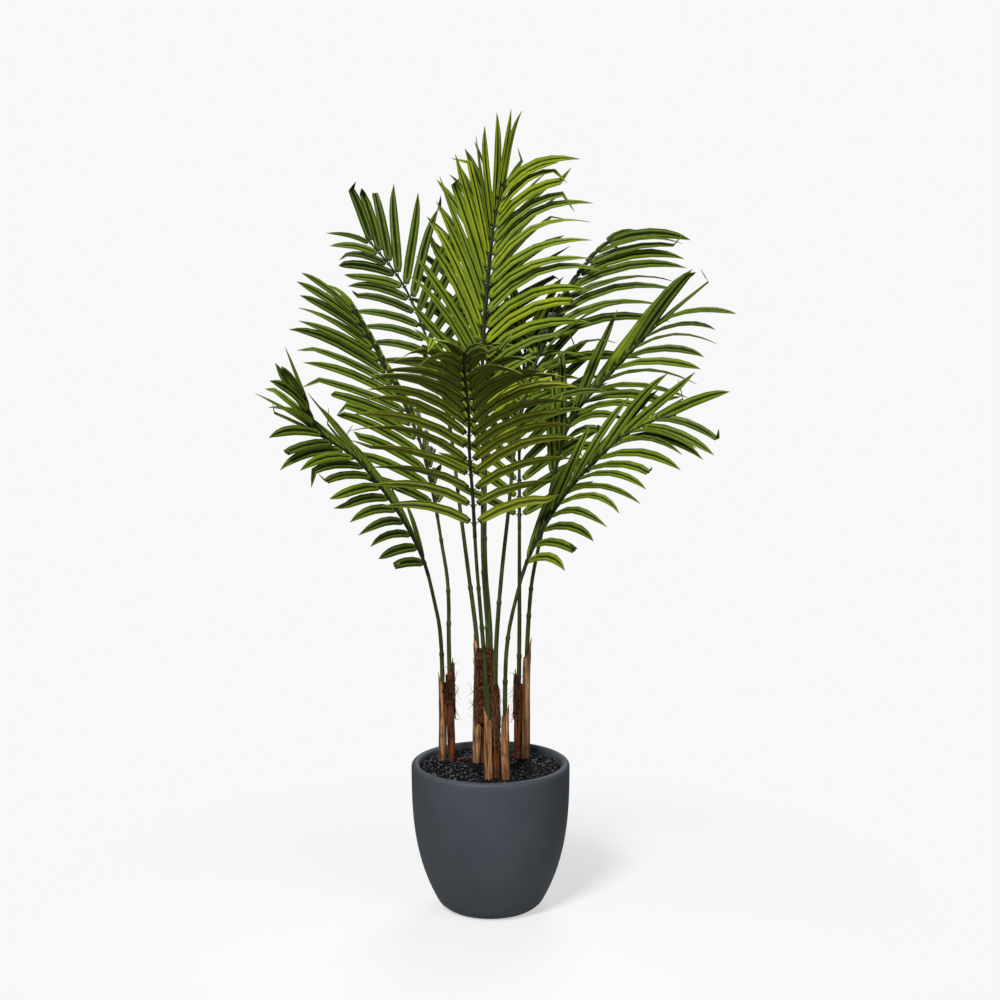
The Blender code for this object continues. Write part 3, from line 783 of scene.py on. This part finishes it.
def make_cane(leaf):
    """The green cane: a thin cylinder that narrows upwards, with a collar at each ring joint."""
    joints = [leaf.line.distance_at_height(height) for height in JOINTS[leaf.name]]
    end = leaf.rib_start
    marks = set(round(end * i / 26, 4) for i in range(27))
    radius_at = {}
    for joint in joints:
        if joint < end - 0.02:
            for shift, swell in COLLAR:
                radius_at[round(joint + shift, 5)] = swell
    marks = {mark for mark in marks if all(abs(mark - joint) > 0.008 for joint in joints)} | set(radius_at)
    stations = []
    for mark in sorted(marks):
        passed = sum(1 for joint in joints if joint < mark)
        plain = CANE_RADIUS + (CANE_TIP_RADIUS - CANE_RADIUS) * mark / end
        stations.append((mark, plain * radius_at.get(mark, 1.0) * JOINT_NARROWING ** passed))
    cane = straight_stalk("cane_of_" + leaf.name, 12, stations)
    lay_on(cane, leaf.line, 0.0, leaf.face)
    smooth(cane, 60)
    return cane


def make_rib(leaf):
    """The frond's midrib: a thinning stalk with a small swelling where each pair of leaflets grows."""
    start, end = leaf.rib_start, leaf.line.length
    stations = [(0.0, RIB_RADIUS)]
    for place in leaf.pair_places:
        share = (place - start) / (end - start)
        radius = RIB_RADIUS + (RIB_TIP_RADIUS - RIB_RADIUS) * share
        for shift, swell in SWELLING:
            stations.append((place - start + shift, radius * swell))
    stations.append((end - start - 0.001, RIB_TIP_RADIUS))
    rib = straight_stalk("rib", 8, stations)
    lay_on(rib, leaf.line, start, leaf.face)
    smooth(rib, 60)
    return rib


# ---------------------------------------------------------------- leaflets


# How far along each row of a leaflet is and how wide there; the peg is below zero
BLADE_ROWS = ((-1.0, 0.075), (0.0, 0.085), (0.022, 0.55), (0.07, 0.88), (0.26, 1.0), (0.50, 0.98),
              (0.68, 0.90), (0.82, 0.68), (0.91, 0.40), (1.0, 0.03))
KINK_ROW = 0.82
ROWS_PAST_KINK = (0.91, 1.0)
BLADE_FOLDS = (-0.02, 0.20, -0.16, 0.20, -0.02)


def leaflet_master():
    """One straight leaflet along Y, one unit wide each way: peg, rounded base, pleats, drawn-out tip."""
    start_fresh()
    rows = len(BLADE_ROWS)
    bpy.ops.mesh.primitive_grid_add(x_subdivisions=4, y_subdivisions=rows - 1, size=2.0)
    blade = named("leaflet")
    edit(blade)
    for row, (along, wide) in enumerate(BLADE_ROWS):
        old = -1 + 2 * row / (rows - 1)
        select_where(blade, lambda c, old=old: abs(c.y - old) < 0.01 and abs(c.z) < 0.01)
        bpy.ops.transform.resize(value=(wide, 1, 1))
        bpy.ops.transform.translate(value=(0, along - old, 10))
    bpy.ops.mesh.select_all(action="SELECT")
    bpy.ops.transform.translate(value=(0, 0, -10))
    finish_edit()
    for corner in blade.data.vertices:
        wide = next(width for along, width in BLADE_ROWS if abs(along - corner.co.y) < 0.002)
        column = round(2 * corner.co.x / wide) + 2
        corner.co.z = BLADE_FOLDS[column] * wide
    thicken(blade, BLADE_THICKNESS, 0.0)
    smooth(blade, 50)
    mesh = blade.data
    mesh.attributes.new("tone", "FLOAT", "POINT")
    uv = mesh.uv_layers.new(name="blade")
    for face in mesh.polygons:
        for loop in face.loop_indices:
            corner = mesh.vertices[mesh.loops[loop].vertex_index].co
            wide = min(BLADE_ROWS, key=lambda row: abs(row[0] - corner.y))[1]
            across = 0.5 + 0.49 * max(-1.0, min(1.0, corner.x / wide))
            uv.data[loop].uv = (across + (1.0 if face.normal.z < -0.3 else 0.0), corner.y)
    return blade


class Curl:
    """The line that one leaflet follows, with its broad way, from its root on the midrib to its tip."""

    def __init__(self, leaf, root, inner, outer, tip, broad, dice):
        first, last = inner - root, tip - outer
        self.length = first.length + (outer - inner).length + last.length
        reach = self.length / 3
        bow = Vector((dice.gauss(0, 1), dice.gauss(0, 1), dice.gauss(0, 1))) * BOW_SPREAD * self.length
        self.knots = (root, root + first.normalized() * reach, tip - last.normalized() * reach + bow, tip)
        self.broad = broad.normalized()
        self.twist = dice.gauss(0, TWIST_SPREAD)
        _, _, normal, _ = self.frame(0.25)
        if normal.dot(leaf.face) < 0:
            self.broad = -self.broad
        self.kink = None
        if dice.random() < KINKED_SHARE:
            self.kink = (dice.choice((-1, 1)) * dice.uniform(0.5, 1.7), dice.uniform(-0.6, 0.6))

    def at(self, share):
        a, b, c, d = self.knots
        left = 1 - share
        return a * left ** 3 + b * 3 * left ** 2 * share + c * 3 * left * share ** 2 + d * share ** 3

    def direction(self, share):
        low, high = max(share - 0.01, 0.0), min(share + 0.01, 1.0)
        return (self.at(high) - self.at(low)).normalized()

    def frame(self, share):
        """The point at a share of the length, with the directions across and out of the blade there."""
        along = self.direction(share)
        across = square_to(self.broad, along)
        normal = across.cross(along)
        turn = Matrix.Rotation(self.twist * share, 3, along)
        return self.at(share), turn @ across, turn @ normal, along


def lay_leaflet(blade, curl, width):
    """Bends a copy of the straight leaflet onto its line; a kinked one has its tip folded over."""
    peg_share = PEG / curl.length
    rows = {}
    for along, _ in BLADE_ROWS:
        share = peg_share * (1 + along) if along < 0 else peg_share + (1 - peg_share) * along
        rows[along] = curl.frame(share)
    if curl.kink:
        base, across, normal, along = rows[KINK_ROW]
        fold, sweep = curl.kink
        turn = Matrix.Rotation(fold, 3, across) @ Matrix.Rotation(sweep, 3, normal)
        for row in ROWS_PAST_KINK:
            reach = (rows[row][0] - base).length
            rows[row] = (base + turn @ along * reach, turn @ across, turn @ normal, along)
    for corner in blade.data.vertices:
        row = min(rows, key=lambda along: abs(along - corner.co.y))
        base, across, normal, _ = rows[row]
        corner.co = base + across * corner.co.x * width + normal * corner.co.z * width
    blade.data.update()


def make_frond(leaf, master, finishes):
    """One frond: its midrib with a bent copy of the leaflet at each of its places."""
    dice = random.Random("frond " + leaf.name)
    pieces = [make_rib(leaf)]
    pieces[0].data.materials.append(finishes["rib"])
    blank = pieces[0].data.attributes.new("tone", "FLOAT", "POINT")
    blank.data.foreach_set("value", [leaf.tone] * len(pieces[0].data.vertices))
    pieces[0].data.uv_layers.new(name="blade")
    for root, inner, outer, tip, broad in leaf.leaflets:
        blade = copy_of(master, "blade")
        width = broad.length / 2 * BLADE_WIDEN
        lay_leaflet(blade, Curl(leaf, root, inner, outer, tip, broad, dice), width)
        # The leaflet's tone: its frond's brightness, which is partly painted light, with a random spread of
        # its own.
        tone = min(1.0, max(0.0, leaf.tone + dice.gauss(0, TONE_SPREAD)))
        blade.data.attributes["tone"].data.foreach_set("value", [tone] * len(blade.data.vertices))
        blade.data.materials.append(finishes["blade"])
        pieces.append(blade)
    return join(pieces, "leaf_" + leaf.name)


# ---------------------------------------------------------------- boots, fibre and flake


# How far up a boot each ring is and how wide there; the last is the brink of its split top
BOOT_RINGS = ((0.0, 0.90), (0.12, 0.95), (0.25, 1.0), (0.40, 1.02), (0.55, 1.0), (0.68, 0.97), (0.78, 0.94),
              (0.86, 0.92), (0.93, 0.92))


def make_boot(leaf, turn, finish):
    """The dry sheath round a cane's foot: a creased tube, split open at the top, with a long point."""
    foot = leaf.line.distance_at_height(GRAVEL_TOP - BOOT_DEPTH)
    top = leaf.line.distance_at_height(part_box("boot_" + leaf.name)[1].z) - foot
    stations = [(top * share, BOOT_RADIUS * wide) for share, wide in BOOT_RINGS]
    boot = straight_stalk("sheath_of_" + leaf.name, 20, stations, capped=False)
    edit(boot)
    brink = stations[-1][0]
    select_where(boot, lambda c: c.z > brink - 0.0001)
    bpy.ops.mesh.extrude_region_move(TRANSFORM_OT_translate={"value": (0, 0, top * 0.02)})
    finish_edit()
    for corner in boot.data.vertices:
        round_way = math.atan2(corner.co.x, -corner.co.y) / math.pi
        share = corner.co.z / top
        if share > 0.94:
            corner.co.z += top * (0.055 - 0.16 * min(1.0, abs(round_way) * 1.7) ** 0.8)
        elif share > 0.70:
            corner.co.z -= top * 0.10 * (share - 0.70) / 0.24 * min(1.0, abs(round_way) * 1.7)
        broad_crease = 0.07 * math.cos(5 * math.pi * round_way + 6 * share)
        crease = 1 + broad_crease + 0.04 * math.cos(9 * math.pi * round_way)
        corner.co.x *= crease
        corner.co.y *= crease
    thicken(boot, SHEATH_THICKNESS, -1.0)
    way = Vector((math.sin(turn), -math.cos(turn), 0))
    lay_on(boot, leaf.line, foot, -way)
    roughen(boot, 0.0007, 70.0)
    boot.data.materials.append(finish)
    smooth(boot, 45)
    return boot


def roughen(piece, amount, scale):
    """Moves each corner a little, by a smooth noise over the place."""
    for corner in piece.data.vertices:
        corner.co += noise.noise_vector(corner.co * scale) * amount
    piece.data.update()


def trunk_hull(leaves, height, turn, grow):
    """The outermost point round a group of boots at a height, in one direction."""
    out = Vector((math.cos(turn), math.sin(turn), 0))
    middles = [leaf.line.at(leaf.line.distance_at_height(height)) for leaf in leaves]
    best = max(middles, key=lambda centre: centre.dot(out))
    point = best + out * (BOOT_RADIUS + grow)
    return Vector((point.x, point.y, height))


def make_mat(trunk, leaves, facing, half_width, low, high):
    """The mat of coarse fibre: a wrinkled sheet with frayed sides, a peaked top and a narrow lower end."""
    start_fresh()
    bpy.ops.mesh.primitive_grid_add(x_subdivisions=22, y_subdivisions=16, size=2.0)
    mat = named("mat_" + trunk)
    seed = Vector((len(trunk) * 3.1, 1.7, 0.4))
    for corner in mat.data.vertices:
        side, rise = corner.co.x, (corner.co.y + 1) / 2
        fray = noise.noise(seed + Vector((side * 4.0, rise * 9.0, 0)))
        narrow = 1 - 0.60 * max(0.0, rise - 0.6) / 0.4 - 0.50 * max(0.0, 0.35 - rise) / 0.35
        turn = math.radians(facing + half_width * side * (narrow + 0.30 * fray))
        height = low + (high - low) * rise
        if rise > 0.99:
            height += 0.010 * (1 - abs(side)) + 0.006 * noise.noise(seed + Vector((side * 9.0, 5, 0)))
        if rise < 0.01:
            height += 0.012 * abs(side) + 0.007 * noise.noise(seed + Vector((side * 9.0, 9, 0)))
        wrinkle = 0.0013 * noise.noise(seed + Vector((side * 7.0, rise * 12.0, 3)))
        corner.co = trunk_hull(leaves, height, turn, 0.0007 + wrinkle)
    mat.data.update()
    thicken(mat, MAT_THICKNESS, 1.0)
    faces_outward(mat)
    mat.data.attributes.new("tone", "FLOAT", "POINT")
    smooth(mat, 60)
    return mat


def make_wrap(trunk, leaves, facing, half_width, count, finish):
    """The dark fibre on one side of a trunk: its mat and the crossing threads on it, some of them loose."""
    low, high = (corner.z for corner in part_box("fibre_wrap_" + trunk))
    dice = random.Random("wrap " + trunk)
    threads = [make_mat(trunk, leaves, facing, half_width, low, high - 0.006)]
    stations = [(step / 12, 1.0 if step < 9 else 1.0 - (step - 8) * 0.2) for step in range(13)]
    thread = straight_stalk("thread", 3, stations)
    thread.data.attributes.new("tone", "FLOAT", "POINT")
    for index in range(count):
        strand = copy_of(thread, "strand")
        loose = index % 6 == 0
        side = dice.uniform(-0.95, 0.95)
        begin = math.radians(facing + half_width * side)
        slant = dice.choice((-1, 1)) * dice.uniform(0.15, 0.8)
        climb = dice.choice((-1, 1)) * dice.uniform(0.010, 0.034)
        base = dice.uniform(low, high - 0.004)
        points = []
        for step in range(7):
            share = step / 6
            height = min(max(base + climb * share, low - 0.008), high + 0.004)
            out = 0.0016 + 0.0006 * math.sin(9 * share + index)
            if loose:
                out += 0.012 * share ** 2 * dice.uniform(0.6, 1.1)
            points.append(trunk_hull(leaves, height, begin + slant * share, out))
        curve = Line(points)
        thick = dice.uniform(0.00020, 0.00045)
        for corner in strand.data.vertices:
            corner.co = Vector((corner.co.x * thick, corner.co.y * thick, corner.co.z * curve.length))
        lay_on(strand, curve, 0.0, Vector((0.1, 0.2, 1)))
        strand.data.attributes["tone"].data.foreach_set("value", [dice.random()] * len(strand.data.vertices))
        threads.append(strand)
    bpy.data.objects.remove(thread)
    wrap = join(threads, "fibre_of_" + trunk)
    wrap.data.materials.clear()
    wrap.data.materials.append(finish)
    return wrap


def make_flake(finish):
    """A dry scrap of sheath on the gravel: a pointed, cupped strip with curled ends."""
    low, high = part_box("loose_flake")
    start_fresh()
    bpy.ops.mesh.primitive_grid_add(x_subdivisions=12, y_subdivisions=4, size=2.0)
    flake = named("dry_flake")
    edit(flake)
    for step in range(13):
        along = -1 + step / 6
        select_where(flake, lambda c, along=along: abs(c.x - along) < 0.01)
        wide = max(0.05, math.cos(along * math.pi / 2) ** 0.7)
        bpy.ops.transform.resize(value=(1, wide, 1))
    finish_edit()
    half = (high - low) / 2
    for corner in flake.data.vertices:
        x, y = corner.co.x, corner.co.y
        corner.co = Vector((x * half.x, y * half.y * 0.8, 0.0035 * x * x * x + 0.0024 * y * y))
    thicken(flake, FLAKE_THICKNESS, 0.0)
    roughen(flake, 0.0006, 160.0)
    for corner in flake.data.vertices:
        corner.co += (low + high) / 2 + Vector((0, 0, 0.0005))
    flake.data.update()
    flake.data.materials.append(finish)
    smooth(flake, 50)
    return flake


# ---------------------------------------------------------------- stage


def make_floor():
    """A round pale floor."""
    start_fresh()
    bpy.ops.mesh.primitive_circle_add(
        vertices=96, radius=FLOOR_RADIUS, fill_type="NGON", location=(0, 0, -0.0002))
    floor = named("floor")
    settle(floor)
    floor.data.materials.append(floor_finish())


def softbox(name, place, aim, size, watts):
    lamp = bpy.data.lights.new(name, "AREA")
    lamp.shape = "RECTANGLE"
    lamp.size, lamp.size_y = size
    lamp.energy = watts
    thing = bpy.data.objects.new(name, lamp)
    thing.location = place
    thing.rotation_euler = (Vector(aim) - Vector(place)).to_track_quat("-Z", "Y").to_euler()
    bpy.context.scene.collection.objects.link(thing)


def make_light():
    """Soft studio light: a dim surround that looks pale to the lens, a key from the left and two fills."""
    world = bpy.data.worlds.new("studio")
    bpy.context.scene.world = world
    world.use_nodes = True
    nodes, links = world.node_tree.nodes, world.node_tree.links
    surround = nodes["Background"]
    surround.inputs["Color"].default_value = (0.98, 0.98, 1.0, 1.0)
    surround.inputs["Strength"].default_value = 0.19
    backdrop = nodes.new("ShaderNodeBackground")
    backdrop.inputs["Color"].default_value = (0.94, 0.94, 0.94, 1.0)
    path = nodes.new("ShaderNodeLightPath")
    choice = nodes.new("ShaderNodeMixShader")
    links.new(path.outputs["Is Camera Ray"], choice.inputs[0])
    links.new(surround.outputs[0], choice.inputs[1])
    links.new(backdrop.outputs[0], choice.inputs[2])
    links.new(choice.outputs[0], nodes["World Output"].inputs["Surface"])
    softbox("key", (-1.1, -2.6, 2.8), (0, 0, 0.6), (0.9, 0.9), 192)
    softbox("fill", (2.4, -2.4, 1.4), (0, 0, 0.6), (1.8, 1.8), 42)
    softbox("back", (0.6, 2.6, 2.4), (0, 0, 0.7), (1.6, 1.6), 46)


def make_camera():
    lens = bpy.data.cameras.new("camera")
    lens.sensor_width = 36
    lens.lens = 65.016
    camera = bpy.data.objects.new("camera", lens)
    camera.location = (0.0143, -2.66, 1.0)
    camera.rotation_euler = (math.radians(82), 0, 0)
    bpy.context.scene.collection.objects.link(camera)
    bpy.context.scene.camera = camera
    bpy.context.scene.view_settings.view_transform = "Standard"


# ---------------------------------------------------------------- the whole palm


def belongs(piece, slot, *nodes):
    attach(piece, "root")
    if nodes:
        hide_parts(*nodes)


def main():
    noise.seed_set(NOISE_SEED)
    leaves = [Leaf(name) for name in FRONDS]
    by_name = {leaf.name: leaf for leaf in leaves}
    cane_green = stem_finish("cane_green", (0.016, 0.024, 0.005), (0.050, 0.066, 0.015), 0.42)
    finishes = {
        "rib": stem_finish("midrib_green", (0.009, 0.012, 0.006), (0.034, 0.042, 0.016), 0.50),
        "blade": blade_finish(),
    }
    tan = sheath_finish("tan_sheath", (0.075, 0.030, 0.010), (0.37, 0.195, 0.088))
    russet = sheath_finish("russet_sheath", (0.020, 0.006, 0.003), (0.165, 0.048, 0.016))
    fibre = fibre_finish()

    pot = make_pot()
    pot.data.materials.append(pot_finish())
    belongs(pot, "pot", "pot")

    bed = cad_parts["gravel"]
    bed.data.materials.clear()
    bed.data.materials.append(soil_finish())
    grains = make_gravel(leaves)
    grains.data.materials.append(grain_finish())
    belongs(grains, "gravel")

    for leaf in leaves:
        cane = make_cane(leaf)
        cane.data.materials.append(cane_green)
        belongs(cane, "cane", "cane_" + leaf.name)
    turns = random.Random(5)
    for trunk, names in TRUNKS.items():
        members = [by_name[name] for name in names]
        heart = sum((leaf.line.at(0.0) for leaf in members), Vector()) / len(members)
        for leaf in members:
            out = leaf.line.at(0.0) - heart
            turn = math.atan2(out.x, -out.y) + turns.uniform(-0.3, 0.3)
            is_tan = leaf.name in TAN_BOOTS
            boot = make_boot(leaf, turn, tan if is_tan else russet)
            belongs(boot, "tan_sheath" if is_tan else "russet_sheath", "boot_" + leaf.name)
        against, facing, half_width, count = MATS[trunk]
        wrap = make_wrap(trunk, [by_name[name] for name in against], facing, half_width, count, fibre)
        belongs(wrap, "fibre", "fibre_wrap_" + trunk)
    flake = make_flake(russet)
    belongs(flake, "russet_sheath", "loose_flake")

    master = leaflet_master()
    for leaf in leaves:
        frond = make_frond(leaf, master, finishes)
        belongs(frond, "leaf", "frond_" + leaf.name)
    bpy.data.objects.remove(master)

    make_floor()
    make_light()
    make_camera()


main()
